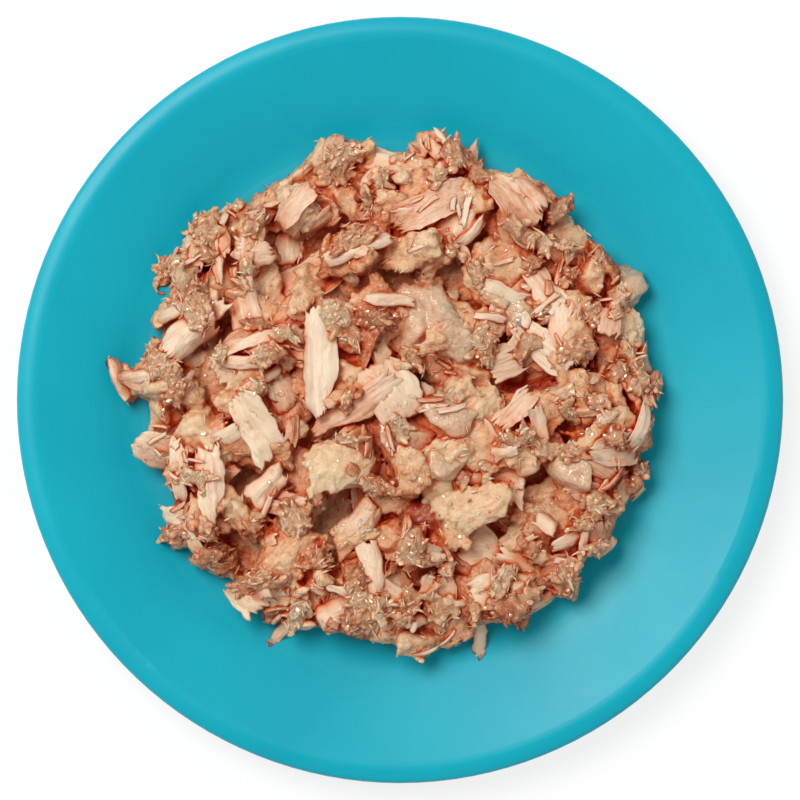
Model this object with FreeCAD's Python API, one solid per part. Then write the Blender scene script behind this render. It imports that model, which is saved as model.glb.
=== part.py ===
"""A serving of flaked cat food on its plate.

The plate is a round coupe plate of glazed stoneware: a flat floor, a shallow wall that rises
at a steady slope, a rolled lip and a foot ring. One can's worth of flaked fish in jelly is
heaped in its middle. The heap is one solid out to its uneven outline, with the clumps that
the flakes form, the gaps between them and the longest flakes that stick out at its edge.

Units are millimetres, +Z is up, and the origin is the centre of the foot ring on the table.
Angles are bearings in degrees, counted from +X towards +Y.
"""

import FreeCAD
import Part

import math
import os
import random

# ---- plate -------------------------------------------------------------------------------
PLATE_RADIUS = 75.0
WELL_RADIUS = 51.0  # the flat floor
WALL_SLOPE = 17.0  # degrees
WALL_BLEND_RADIUS = 14.0  # between the floor and the wall
BODY_THICKNESS = 3.6
LIP_RADIUS = 5.0  # the roll of the lip's upper side
LIP_FALL = 25.0  # degrees that the lip falls outwards before its edge
FOOT_RADIUS = 42.0  # outside of the foot ring
FOOT_WIDTH = 4.0
FOOT_HEIGHT = 1.8
FOOT_ROUND = 1.2  # rounding of the foot ring's lower edges
ROUND_LIMIT = 0.9  # share of the foot ring's height or half width that its rounding may take

# ---- heap --------------------------------------------------------------------------------
HEAP_RADIUS = 50.0  # to the ragged side, between the lobes
HEAP_OFFSET = (-0.5, 0.5)  # of the heap's middle from the plate's
CROWN_HEIGHT = 13.5  # of the dome's middle above the floor, before the clumps
SHOULDER_HEIGHT = 7.0  # of the dome's rim above the floor, before the clumps
DOME_POWER = 2.4  # higher is flatter on top and steeper at the rim
SHOULDER_INSET = 2.2  # how far the top's rim lies inside the widest line of the side
UNDERCUT = 2.6  # how far the side draws in again where it meets the plate
BULGE_HEIGHT = 3.0  # of the side's widest line above the plate
FLOOR_SHARE = 0.9  # of the footprint's radius that is one flat face

# Lobes and stray flakes that reach past HEAP_RADIUS: bearing, reach, half width in degrees.
LOBES = (
    (2.0, 3.2, 6.0),
    (30.0, 1.4, 6.0),
    (60.0, 1.6, 9.0),
    (81.0, 5.0, 5.0),
    (107.0, 3.2, 8.0),
    (143.0, 4.2, 10.0),
    (176.0, 7.8, 3.2),
    (190.0, 2.0, 7.0),
    (212.0, 5.4, 5.0),
    (240.0, 3.6, 3.0),
    (278.0, 2.2, 9.0),
    (340.0, 2.4, 9.0),
)

# Clumps of flakes: rings of rounded lumps, each with its own size, turn and height.
CLUMP_SEED = 11
CLUMP_RINGS = ((0.0, 1), (14.5, 6), (28.5, 12), (42.5, 18))  # ring radius, clumps in it
CLUMP_JITTER = 2.6
CLUMP_LENGTH = (7.0, 11.0)  # least and greatest half length
CLUMP_SLIMNESS = (0.45, 0.85)  # half width as a share of the half length
CLUMP_BULGE = (2.8, 4.6)  # height of a clump over the bed that it sits on
CLUMP_SQUARENESS = 0.36  # lower gives flatter tops and steeper edges
CLUMP_LIFT = 1.3  # how much higher or lower a clump may sit
CLUMP_LEAN = 0.16  # greatest slope along a clump's length

# Gaps between clumps: place, half length, half width, bearing of the length.
GAPS = (
    ((-13.0, -25.5), 10.0, 3.2, 50.0),
    ((-29.0, -16.0), 5.0, 2.8, 50.0),
    ((-31.5, -31.0), 6.0, 2.6, 130.0),
    ((-31.5, 15.0), 6.0, 2.6, 53.0),
    ((-12.0, 32.5), 8.0, 2.6, 20.0),
    ((2.0, 1.0), 6.0, 2.8, 70.0),
    ((4.5, -22.0), 5.5, 2.4, 56.0),
    ((16.5, -5.0), 4.0, 2.8, 90.0),
    ((13.0, 14.5), 4.0, 2.6, 136.0),
    ((24.0, 22.0), 5.0, 2.6, 130.0),
    ((31.0, -7.5), 6.0, 2.4, 40.0),
    ((33.0, -22.0), 7.0, 2.6, 80.0),
    ((38.5, 12.5), 5.5, 2.4, 115.0),
)
GAP_DEPTH = 7.0
LEAST_COVER = 2.5  # of food left over the plate under a gap

RING_SPACING = 1.75  # of the facets on the top

# ---- worked out --------------------------------------------------------------------------
SLOPE = math.radians(WALL_SLOPE)
FALL = math.radians(LIP_FALL)
TURN_COS = math.cos(SLOPE + FALL)
EDGE_RADIUS = (BODY_THICKNESS - LIP_RADIUS * (1.0 - TURN_COS)) / (1.0 + TURN_COS)
WELL_HEIGHT = FOOT_HEIGHT + BODY_THICKNESS  # top of the floor above the table
WALL_START = (
    WELL_RADIUS + WALL_BLEND_RADIUS * math.sin(SLOPE),
    WELL_HEIGHT + WALL_BLEND_RADIUS * (1.0 - math.cos(SLOPE)),
)


def plate_top(radius):
    """Height of the plate's upper side, from its middle to the start of the lip."""
    if radius <= WELL_RADIUS:
        return WELL_HEIGHT
    if radius <= WALL_START[0]:
        rise = math.sqrt(WALL_BLEND_RADIUS**2 - (radius - WELL_RADIUS) ** 2)
        return WELL_HEIGHT + WALL_BLEND_RADIUS - rise
    return WALL_START[1] + (radius - WALL_START[0]) * math.tan(SLOPE)


def on_arc(centre, radius, tilt):
    """The point of an arc whose outward normal leans by tilt from straight up, outwards."""
    return (centre[0] + radius * math.sin(tilt), centre[1] + radius * math.cos(tilt))


def vector(point):
    return FreeCAD.Vector(point[0], 0.0, point[1])


def line(start, end):
    return Part.LineSegment(vector(start), vector(end)).toShape()


def arc(centre, radius, start_tilt, end_tilt):
    """An edge along a circle, from one tilt of its normal to another."""
    tilts = (start_tilt, (start_tilt + end_tilt) / 2.0, end_tilt)
    return Part.Arc(*(vector(on_arc(centre, radius, tilt)) for tilt in tilts)).toShape()


def make_plate():
    """The plate's half section, turned once round the axis."""
    up, down, outwards, inwards = 0.0, math.pi, math.pi / 2.0, -math.pi / 2.0
    edge_centre_radius = PLATE_RADIUS - EDGE_RADIUS
    lip_centre_radius = edge_centre_radius - (LIP_RADIUS - EDGE_RADIUS) * math.sin(FALL)
    lip_start_radius = lip_centre_radius - LIP_RADIUS * math.sin(SLOPE)
    lip_start = (lip_start_radius, plate_top(lip_start_radius))
    lip_centre = (lip_centre_radius, lip_start[1] - LIP_RADIUS * math.cos(SLOPE))
    edge_centre = on_arc(lip_centre, LIP_RADIUS - EDGE_RADIUS, FALL)
    blend_centre = (WELL_RADIUS, WELL_HEIGHT + WALL_BLEND_RADIUS)
    outer_blend = WALL_BLEND_RADIUS + BODY_THICKNESS

    foot_round = min(FOOT_ROUND, ROUND_LIMIT * min(FOOT_HEIGHT, FOOT_WIDTH / 2.0))
    foot_outer = (FOOT_RADIUS - foot_round, foot_round)
    foot_inner = (FOOT_RADIUS - FOOT_WIDTH + foot_round, foot_round)
    underside_outer = (FOOT_RADIUS, FOOT_HEIGHT)
    underside_inner = (FOOT_RADIUS - FOOT_WIDTH, FOOT_HEIGHT)

    edges = [
        line((0.0, WELL_HEIGHT), (WELL_RADIUS, WELL_HEIGHT)),
        arc(blend_centre, WALL_BLEND_RADIUS, down, down - SLOPE),
        line(WALL_START, lip_start),
        arc(lip_centre, LIP_RADIUS, -SLOPE, FALL),
        arc(edge_centre, EDGE_RADIUS, FALL, down - SLOPE),
        line(
            on_arc(edge_centre, EDGE_RADIUS, down - SLOPE),
            on_arc(blend_centre, outer_blend, down - SLOPE),
        ),
        arc(blend_centre, outer_blend, down - SLOPE, down),
        line((WELL_RADIUS, FOOT_HEIGHT), underside_outer),
        line(underside_outer, on_arc(foot_outer, foot_round, outwards)),
        arc(foot_outer, foot_round, outwards, down),
        line(on_arc(foot_outer, foot_round, down), on_arc(foot_inner, foot_round, down)),
        arc(foot_inner, foot_round, -down, inwards),
        line(on_arc(foot_inner, foot_round, inwards), underside_inner),
        line(underside_inner, (0.0, FOOT_HEIGHT)),
        line((0.0, FOOT_HEIGHT), (0.0, WELL_HEIGHT)),
    ]
    section = Part.Face(Part.Wire(edges))
    axis = FreeCAD.Vector(0.0, 0.0, 1.0)
    return section.revolve(FreeCAD.Vector(0.0, 0.0, 0.0), axis, 360.0)


def turned(dx, dy, bearing):
    """An offset, measured along and across a bearing."""
    cosine, sine = math.cos(bearing), math.sin(bearing)
    return dx * cosine + dy * sine, dy * cosine - dx * sine


def outline(bearing):
    """Radius of the heap's widest line on a bearing in radians."""
    radius = HEAP_RADIUS
    for lobe_bearing, reach, spread in LOBES:
        away = math.remainder(bearing - math.radians(lobe_bearing), 2.0 * math.pi)
        radius += reach * math.exp(-((away / math.radians(spread)) ** 2))
    return radius


def make_clumps():
    """(place, half length, half width, bearing, bulge, lift, lean) of each clump."""
    chance = random.Random(CLUMP_SEED)
    clumps = []
    for ring_radius, count in CLUMP_RINGS:
        for number in range(count):
            bearing = 2.0 * math.pi * number / count + ring_radius
            x = ring_radius * math.cos(bearing) + chance.uniform(-1.0, 1.0) * CLUMP_JITTER
            y = ring_radius * math.sin(bearing) + chance.uniform(-1.0, 1.0) * CLUMP_JITTER
            half_length = chance.uniform(*CLUMP_LENGTH)
            half_width = half_length * chance.uniform(*CLUMP_SLIMNESS)
            turn = chance.uniform(0.0, math.pi)
            bulge = chance.uniform(*CLUMP_BULGE)
            lift = chance.uniform(-1.0, 1.0) * CLUMP_LIFT
            lean = chance.uniform(-1.0, 1.0) * CLUMP_LEAN
            clumps.append(((x, y), half_length, half_width, turn, bulge, lift, lean))
    return clumps


def clump_height(clumps, x, y):
    """Height of the highest clump at a place, over the bed."""
    highest = 0.0
    for (cx, cy), half_length, half_width, turn, bulge, lift, lean in clumps:
        along, across = turned(x - cx, y - cy, turn)
        share = (along / half_length) ** 2 + (across / half_width) ** 2
        if share < 1.0:
            height = bulge * (1.0 - share) ** CLUMP_SQUARENESS + lift + lean * along
            highest = max(highest, height)
    return highest


def gap_depth(x, y):
    """Depth of the deepest gap at a place."""
    deepest = 0.0
    for (gx, gy), half_length, half_width, bearing in GAPS:
        along, across = turned(x - gx, y - gy, math.radians(bearing))
        share = (along / half_length) ** 2 + (across / half_width) ** 2
        if share < 1.0:
            deepest = max(deepest, GAP_DEPTH * (1.0 - share))
    return deepest


def top_point(clumps, share, bearing):
    """The heap's top at a share of the way out on a bearing."""
    radius = share * (outline(bearing) - SHOULDER_INSET)
    x, y = radius * math.cos(bearing), radius * math.sin(bearing)
    dome = SHOULDER_HEIGHT + (CROWN_HEIGHT - SHOULDER_HEIGHT) * (1.0 - share**DOME_POWER)
    height = dome + clump_height(clumps, x, y) - gap_depth(x, y)
    x, y = x + HEAP_OFFSET[0], y + HEAP_OFFSET[1]
    floor = plate_top(math.hypot(x, y))
    return FreeCAD.Vector(x, y, max(WELL_HEIGHT + height, floor + LEAST_COVER))


def side_point(bearing, inset, lift):
    """A point of the heap's side, inset from its widest line and lifted off the plate."""
    radius = outline(bearing) - inset
    x = radius * math.cos(bearing) + HEAP_OFFSET[0]
    y = radius * math.sin(bearing) + HEAP_OFFSET[1]
    return FreeCAD.Vector(x, y, plate_top(math.hypot(x, y)) + lift)


def floor_point(bearing):
    """A point on the rim of the flat face that rests on the plate's floor."""
    well_margin = WELL_RADIUS - math.hypot(*HEAP_OFFSET)
    radius = FLOOR_SHARE * min(outline(bearing) - UNDERCUT, well_margin)
    x = radius * math.cos(bearing) + HEAP_OFFSET[0]
    y = radius * math.sin(bearing) + HEAP_OFFSET[1]
    return FreeCAD.Vector(x, y, WELL_HEIGHT)


def top_triangles(rings):
    """Triangles over rings of 6, 12, 18 and more points round a middle point."""
    triangles = []
    for number in range(1, len(rings)):
        outer, inner = rings[number], rings[number - 1]
        for sector in range(6):
            for step in range(number):
                a = outer[sector * number + step]
                b = outer[(sector * number + step + 1) % len(outer)]
                c = inner[(sector * (number - 1) + step) % len(inner)]
                triangles.append((a, b, c))
                if step < number - 1:
                    d = inner[(sector * (number - 1) + step + 1) % len(inner)]
                    triangles.append((c, b, d))
    return triangles


def band_triangles(upper, lower):
    """Triangles between two rings with the same number of points."""
    triangles = []
    for number in range(len(upper)):
        following = (number + 1) % len(upper)
        triangles.append((upper[number], lower[number], upper[following]))
        triangles.append((upper[following], lower[number], lower[following]))
    return triangles


def make_heap():
    """The heap as a closed shell of flat facets, with one flat face on the plate's floor."""
    clumps = make_clumps()
    ring_count = max(6, round((HEAP_RADIUS - SHOULDER_INSET) / RING_SPACING))
    rings = [[top_point(clumps, 0.0, 0.0)]]
    for number in range(1, ring_count + 1):
        bearings = [2.0 * math.pi * step / (6 * number) for step in range(6 * number)]
        rings.append([top_point(clumps, number / ring_count, b) for b in bearings])
    widest = [side_point(b, 0.0, BULGE_HEIGHT) for b in bearings]
    contact = [side_point(b, UNDERCUT, 0.0) for b in bearings]
    floor = [floor_point(b) for b in bearings]

    triangles = top_triangles(rings)
    for upper, lower in ((rings[-1], widest), (widest, contact), (contact, floor)):
        triangles += band_triangles(upper, lower)
    faces = [Part.Face(Part.makePolygon([a, b, c, a])) for a, b, c in triangles]
    faces.append(Part.Face(Part.makePolygon(floor + floor[:1])))
    shell = Part.makeShell(faces)
    shell.sewShape()
    solid = Part.makeSolid(shell)
    if solid.Volume < 0.0:
        solid.reverse()
    return solid


def main():
    os.makedirs("parts", exist_ok=True)
    nodes = {"plate": make_plate(), "fish_heap": make_heap()}
    for name, shape in nodes.items():
        shape.exportStep(f"parts/{name}.step")
        box = shape.BoundBox
        print(
            f"{name}: valid {shape.isValid()}, {len(shape.Solids)} solid, {len(shape.Faces)} faces, "
            f"{shape.Volume / 1000.0:.1f} cm3, x {box.XMin:.1f} to {box.XMax:.1f}, "
            f"y {box.YMin:.1f} to {box.YMax:.1f}, z {box.ZMin:.2f} to {box.ZMax:.2f}"
        )


main()
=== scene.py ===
"""Looks for a plate of flaked cat food: a glazed teal plate and the heap of fish in jelly on it.

The plate is the CAD solid with a glaze. The heap's solid is the envelope that the food fills: soft
masses of mince and broken flesh, torn flakes that lie on them one over another, clots of short
fibres over the flakes' ends, slivers round the edge, shreds, hairs, lumps of jelly and beads of
juice. Lengths are in millimetres until a mesh is made, and bearings in degrees from +X.
"""

import math

import bmesh
import bpy
import numpy as np
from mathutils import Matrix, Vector
from mathutils.kdtree import KDTree


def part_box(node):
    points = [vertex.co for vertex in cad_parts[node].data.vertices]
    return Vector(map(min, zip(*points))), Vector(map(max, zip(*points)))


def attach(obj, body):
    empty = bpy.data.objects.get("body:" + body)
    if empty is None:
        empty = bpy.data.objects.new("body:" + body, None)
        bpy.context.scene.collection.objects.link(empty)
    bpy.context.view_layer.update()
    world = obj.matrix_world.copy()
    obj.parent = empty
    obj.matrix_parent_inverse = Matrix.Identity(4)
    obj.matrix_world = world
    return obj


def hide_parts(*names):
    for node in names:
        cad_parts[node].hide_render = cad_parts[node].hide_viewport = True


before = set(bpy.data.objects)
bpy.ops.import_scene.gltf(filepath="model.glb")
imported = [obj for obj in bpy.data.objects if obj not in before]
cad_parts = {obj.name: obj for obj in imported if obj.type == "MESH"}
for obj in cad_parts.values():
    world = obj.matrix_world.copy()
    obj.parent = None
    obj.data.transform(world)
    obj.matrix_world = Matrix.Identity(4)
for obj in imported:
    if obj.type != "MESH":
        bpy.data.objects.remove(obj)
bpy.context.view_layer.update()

MM = 0.001
SEED = 20
UP = np.array([0.0, 0.0, 1.0])
FULL_TURN = 2.0 * math.pi

# ---- the frame ----
plate_low, plate_high = (np.array(corner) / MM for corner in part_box("plate"))
PLATE_RADIUS = (plate_high[0] - plate_low[0]) / 2.0
FLOOR_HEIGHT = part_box("fish_heap")[0][2] / MM  # the heap stands on the plate's floor
PLATE_GAP = 0.08  # least height of a loose piece over the plate

# ---- the masses of minced and broken fish ----
MASS_TRIES = 2600  # places from which those far enough apart are kept
MASS_SPACING = 6.0
MASS_DEPTHS = ((2.4, 4.8), (-0.6, 2.8))  # under the envelope, of the lower and the upper layer
MASS_LENGTH = (8.0, 18.0)
MASS_SLIMNESS = (0.45, 0.85)
MASS_THICKNESS = (2.2, 4.4)
MASS_TEETH = (1.0, 3.0)
MASS_STEPS = (0.62, 0.5)  # of the mesh, along and across
MASS_TONE = (0.33, 0.24)
MASS_BEARINGS = 8  # tried for each mass, until it leaves the gaps open
MUSH_SHARE = 0.74  # of the masses that are minced, while the rest are broken flesh
# Share of the thickness, lean, roughness (crumples, ridges, sheets) and how thready it is.
MINCED = (1.0, 0.2, (0.5, 0.05, 0.1), 0.0)
BROKEN = (0.7, 0.3, (0.28, 0.2, 0.3), 0.8)
EDGE_RADIUS = 42.0  # outside this the masses are shorter
EDGE_LENGTH = 11.0
NORMAL_REACH = 5.0  # round a place, over which the envelope's direction is averaged
OUTWARD = -0.5  # a normal's least height where the envelope is open to the air
SCATTER_FACING = -0.6  # a normal's least height where small things may be scattered
BED_INSET = 6.0  # of the bed that shows at the bottom of the gaps, inside the envelope
BED_SHARE = 0.45  # of the local height, where the heap is thin
SKIN_VOXEL = 0.64
SHARD_FACES = 9
SHARD_SHARPNESS = 10.0
SHARD_KINDS = 12
GRAIN_COUNT = 4200  # grains of mince stuck on the minced masses
GRAIN_RADIUS = (0.3, 0.95)
GRAIN_STRETCH = (0.5, 1.7)
GRAIN_SINK = (0.1, 0.8)  # how far a grain's middle lies under the surface, in its own radii
GRAIN_LEAN = 0.25
COVER_POINTS = 150000  # spread over the envelope to find its heights
COVER_BLUR = 4  # radii of the blurs in cells
PIT_BLURS = (10, 2)  # a hollow is where the wider blur stands higher than the narrower
PIT_DEPTH = 1.2  # of a hollow in the envelope that the upper masses leave open
CREVICE_DEPTH = 1.9
# Smaller gaps that are left open between the pieces: place, half length, half width, bearing.
CREVICES = (
    (-19.5, 32.4, 3.0, 1.6, 30),
    (-8.6, 2.9, 2.6, 1.5, 20),
    (22.0, 11.0, 3.0, 1.8, 80),
    (22.0, 0.7, 2.6, 1.5, 60),
    (27.0, 2.0, 2.6, 1.5, 120),
    (23.0, 28.0, 2.6, 1.5, 150),
    (45.0, -0.4, 3.4, 1.6, 60),
    (20.0, -23.5, 3.0, 1.6, 130),
    (-5.6, 36.0, 3.4, 1.5, 15),
    (-33.0, -26.0, 3.4, 1.6, 100),
    (12.0, -12.3, 1.8, 1.3, 0),
    (32.6, -23.9, 3.2, 1.5, 95),
    (40.0, -25.0, 3.0, 1.4, 20),
    (2.1, 31.0, 2.6, 1.4, 15),
    (-22.3, 5.9, 2.4, 1.5, 30),
    (-33.6, 19.5, 2.0, 1.6, 0),
)

# ---- flakes ----
# The flakes that stand out: place, length, width, bearing, thickness, taper at its tail and tip.
FEATURE_FLAKES = (
    (-15.6, 7.6, 23.5, 8.0, 92, 1.9, 0.75, 0.35),
    (-8.2, -1.6, 23.0, 6.4, 31, 1.7, 0.80, 0.15),
    (6.6, 37.7, 20.0, 7.0, 27, 1.8, 0.55, 0.45),
    (-29.9, 31.3, 20.5, 3.7, 92, 1.3, 0.75, 0.85),
    (-35.9, 28.3, 13.0, 2.4, 103, 1.1, 0.7, 0.8),
    (-40.2, 28.7, 10.0, 6.7, 90, 2.2, 0.4, 0.45),
    (-41.4, 21.0, 6.0, 3.2, 100, 1.2, 0.4, 0.5),
    (-41.0, 12.7, 15.0, 7.0, 40, 2.0, 0.4, 0.4),
    (-44.7, 16.6, 10.0, 3.0, 200, 1.0, 0.3, 0.9),
    (-51.2, 4.3, 13.0, 3.0, 190, 1.1, 0.3, 0.9),
    (-30.9, 7.2, 13.0, 3.0, 4, 1.2, 0.8, 0.8),
    (-28.7, 11.6, 15.0, 4.0, 12, 1.3, 0.7, 0.6),
    (-26.4, 4.4, 11.5, 2.4, 27, 1.0, 0.8, 0.8),
    (-36.5, -16.0, 17.5, 5.8, 276, 1.7, 0.15, 0.75),
    (-43.0, -14.6, 14.0, 5.0, 78, 1.5, 0.5, 0.5),
    (-2.1, 19.3, 11.3, 3.5, 2, 1.3, 0.4, 0.5),
    (-8.2, 29.1, 15.0, 3.6, 20, 1.3, 0.6, 0.5),
    (-13.1, 49.2, 8.0, 4.5, 90, 1.4, 0.3, 0.6),
    (9.2, 49.6, 10.0, 2.6, 92, 1.1, 0.2, 0.9),
    (14.2, 47.2, 12.0, 2.4, 76, 0.9, 0.3, 0.9),
    (-5.3, 43.2, 7.0, 3.0, 60, 1.1, 0.5, 0.5),
    (11.9, 29.5, 9.5, 2.0, -55, 0.9, 0.7, 0.8),
    (28.5, 30.7, 7.6, 1.8, -17, 0.9, 0.7, 0.8),
    (23.0, 31.2, 6.8, 2.4, -57, 1.0, 0.6, 0.7),
    (33.0, 14.5, 12.0, 9.0, 90, 2.0, 0.35, 0.45),
    (40.8, 15.2, 8.0, 6.0, 75, 1.6, 0.4, 0.4),
    (36.1, -2.0, 6.0, 2.6, 10, 1.0, 0.5, 0.6),
    (47.3, 4.7, 13.7, 3.6, 88, 1.3, 0.5, 0.7),
    (50.4, 2.8, 8.0, 4.0, 50, 1.2, 0.3, 0.8),
    (47.0, -4.8, 12.0, 5.0, 50, 1.5, 0.4, 0.5),
    (22.5, -2.0, 12.5, 6.0, 60, 1.8, 0.35, 0.4),
    (26.8, -4.7, 9.0, 4.0, -75, 1.3, 0.3, 0.9),
    (20.1, -10.2, 7.0, 3.0, 25, 1.1, 0.5, 0.6),
    (19.9, 7.6, 9.0, 8.0, 20, 1.9, 0.3, 0.35),
    (-38.3, -30.5, 14.0, 4.0, -70, 1.3, 0.4, 0.7),
    (-46.0, -26.8, 6.0, 2.0, 205, 0.9, 0.3, 0.9),
    (-22.6, -45.0, 11.0, 2.8, 230, 1.2, 0.2, 0.9),
    (-4.9, -32.8, 13.7, 5.0, -80, 1.6, 0.5, 0.45),
    (1.2, -26.2, 10.0, 2.6, -82, 1.1, 0.6, 0.6),
    (-9.8, -37.5, 10.4, 2.4, -23, 1.0, 0.7, 0.7),
    (9.0, -37.9, 11.3, 4.3, -85, 1.4, 0.4, 0.6),
    (2.3, -42.6, 9.8, 3.2, -7, 1.1, 0.6, 0.6),
    (15.6, -46.8, 11.5, 2.8, -85, 1.2, 0.2, 0.9),
    (35.3, -28.5, 10.4, 2.4, -70, 1.0, 0.6, 0.8),
    (33.6, -35.0, 6.5, 2.2, -63, 0.9, 0.4, 0.9),
    (40.2, -29.1, 7.0, 3.5, 52, 1.3, 0.4, 0.5),
    (22.7, -36.9, 6.0, 4.4, 30, 1.2, 0.2, 0.9),
    (27.3, -39.8, 9.0, 4.0, 20, 1.4, 0.4, 0.5),
    (38.9, -17.8, 6.5, 2.0, 63, 0.9, 0.7, 0.7),
)
FEATURE_STEPS = (0.45, 0.3)
FEATURE_TONE = (0.36, 0.1)
PALE_TONE = -0.1  # of the first flake above, which is nearly white
FLAKE_ROUGHNESS = (0.18, (0.08, 0.26), 0.2)  # crumples, range of the ridges, sheets
FLAKE_ROLL = 0.16  # slope across a flake that tips it out of what it lies on
FLAKE_BEND = 0.035
MAX_SLOPE = 1.3
MAX_PROUD = 1.2  # how far a flake's middle may stand over the envelope
# Bundles of smaller flakes: count, length, slimness, mesh steps, lift, distance from the outline.
TORN = (30, (7.0, 15.0), (0.28, 0.6), (0.45, 0.32), (-0.3, 0.3), 1.5)
SCRAPS = (22, (2.6, 5.6), (0.4, 0.9), (0.4, 0.3), (-0.4, 0.2), 0.5)
SLIVERS = (40, (3.5, 8.5), (0.12, 0.24), (0.5, 0.25), (0.0, 0.4), 0.5)
BUNDLE_SIZE = (1, 4)  # flakes that tore off side by side
BUNDLE_TONE = (0.46, 0.2)
BUNDLE_FAN = 0.22  # spread of the bearings in one bundle, in radians
BUNDLE_THICKNESS = (0.22, 0.42)  # of the width
THICKNESS_LIMITS = (0.35, 1.6)
FRINGE_COUNT = 45  # slivers that stick out round the edge
FRINGE_LENGTH = (2.5, 5.5)
FRINGE_SLIMNESS = (0.15, 0.35)
FRINGE_INSIDE = (0.45, 0.9)  # how far a sliver's middle lies inside the outline, in its lengths
FRINGE_STEPS = (0.5, 0.25)
FRINGE_TONE = (0.4, 0.15)

# ---- clots, fibres, jelly and juice ----
CLOT_COUNT = 140  # small heaps of short fibres that lie over the ends and sides of the flakes
CLOT_REACH = (1.2, 3.9)
CLOT_STRETCH = (0.3, 0.75)  # of a clot across its length
CLOT_GRAIN = (0.35, 1.0)
GRAIN_FORM = (2.6, 1.1, 0.9)  # the grains of a clot are short fibres
CLOT_TONE = (0.5, 0.12)
CLOT_VOXEL = 0.36
CLOT_STRAND = 0.15
SHRED_COUNT = 4300  # short fibres sunk in the mince, the clots and the broken flesh
SHRED_SHARES = (0.45, 0.35, 0.2)
SHRED_LENGTH = (1.2, 4.0)
SHRED_WIDTH = (0.35, 0.85)
SHRED_HEIGHT = (0.25, 0.5)
SHRED_SINK = (0.35, 1.1)
SHRED_STRAY = 0.6  # of a fibre from its mass's own direction, in radians
SHRED_TONE = (-0.12, 0.16)  # added to its mass's own
SHRED_STRAND = 0.7
BEAD_COUNT = 1800  # beads of juice, which catch the light, on the same three
BEAD_SHARES = (0.5, 0.35, 0.15)
BEAD_SIZE = (0.25, 0.6)
BEAD_HEIGHT = 0.24  # of the shorter side
BEAD_FACING = 0.55  # a normal's least height under a bead
HAIR_COUNT = 40
HAIR_LENGTH = (1.5, 4.5)
HAIR_RADIUS = (0.07, 0.13)
HAIR_GRID = (7, 4)  # rings and sides
HAIR_TONE = (0.3, 0.1)
# Lumps of jelly: place, length, width, bearing.
FEATURE_JELLY = (
    (3.3, 14.1, 12.0, 11.0, 20),
    (10.9, 12.7, 9.0, 8.0, 70),
    (8.4, -2.1, 9.0, 8.0, 0),
    (0.0, -6.6, 10.0, 7.0, 10),
    (8.4, -13.3, 7.0, 6.0, 40),
    (22.9, 16.6, 7.0, 6.0, 80),
    (44.0, 21.1, 9.0, 8.0, 60),
    (31.8, 1.6, 5.5, 5.0, 0),
    (31.8, -13.5, 11.0, 8.0, 150),
)
JELLY_COUNT = 30
JELLY_SIZE = (2.0, 4.5)
JELLY_FACES = 9
JELLY_SHARPNESS = 14.0
JELLY_HEIGHT = 0.32  # of the shorter side
JELLY_SLOPE = 0.6
OWN_SHIFT = 37.0  # keeps the patterns of two shells apart

# ---- colours, light and view ----
FLESH_STOPS = (
    (0.0, 231, 208, 181),
    (0.35, 226, 191, 162),
    (0.6, 218, 168, 134),
    (0.85, 200, 129, 92),
    (1.0, 175, 90, 56),
)
MINCE_STOPS = (
    (0.0, 234, 203, 163),
    (0.35, 230, 181, 138),
    (0.6, 219, 152, 107),
    (0.85, 197, 114, 71),
    (1.0, 170, 79, 41),
)
JELLY_STOPS = ((0.3, 214, 171, 135), (0.7, 229, 194, 158))
TEAL_STOPS = ((0.3, 0, 152, 171), (0.7, 2, 162, 180))
CLAY_STOPS = ((0.3, 196, 178, 156), (0.7, 216, 200, 180))
BARE_HEIGHT = 0.35  # of the foot ring that has no glaze
FLESH_DEPTH = (0.8, (1.0, 0.68, 0.54))  # how far light goes into fish, and the share of each colour
JELLY_DEPTH = (2.0, (1.0, 0.6, 0.4))
# Painted shade: blue and green are taken out, but no red, where little of the sky is open, so
# hollows and crevices come out darker and redder.
HOLLOW_SHADE_POWERS = (0.0, 1.3, 2.4)
HOLLOW_SHADE_OPEN = (0.05, 0.78, 0.01, 1.0)  # range of openness, and the range that it is spread to
HOLLOW_SHADE_REACH = 6.0  # how far round a point what stands over it counts
HOLLOW_SHADE_SAMPLES = 4
SKY = 0.61
SKY_FADE = (0.90, 0.98)  # a direction's height where the sky starts and ends fading overhead
SKY_ZENITH = 0.1  # of the sky's strength
KEY_PLACE = (-510.0, 510.0, 1230.0)
KEY_TARGET = (0.0, 0.0, 10.0)
KEY_SIZE = 760.0
KEY_POWER = 17.4
TABLE_GREY = 0.86
TABLE_WHITE = 0.8  # of the white that shows the table as the background, over its own light
FRAME_WIDTH = 2.0 * PLATE_RADIUS * 800.0 / 768.0
LENS = 180.0


# ---- numbers ----
def lattice_values(cells, seed):
    """A fixed random value from -1 to 1 for each whole-numbered cell."""
    mixed = np.full(cells.shape[:-1], (seed * 2654435761) & 0xFFFFFFFF, np.uint32)
    for axis, factor in enumerate((73856093, 19349663, 83492791)):
        mixed ^= cells[..., axis].astype(np.int64).astype(np.uint32) * np.uint32(factor)
        mixed = (mixed ^ (mixed >> np.uint32(15))) * np.uint32(2246822519)
    mixed ^= mixed >> np.uint32(13)
    return mixed.astype(np.float64) / 2147483648.0 - 1.0


def noise(points, seed):
    """Smooth noise from -1 to 1 with features about one unit apart."""
    cells = np.floor(points).astype(np.int64)
    part = points - cells
    part = part * part * (3.0 - 2.0 * part)
    total = np.zeros(points.shape[:-1])
    for corner in range(8):
        offset = np.array([corner & 1, corner >> 1 & 1, corner >> 2])
        weight = np.prod(np.where(offset, part, 1.0 - part), axis=-1)
        total += weight * lattice_values(cells + offset, seed)
    return total


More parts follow.
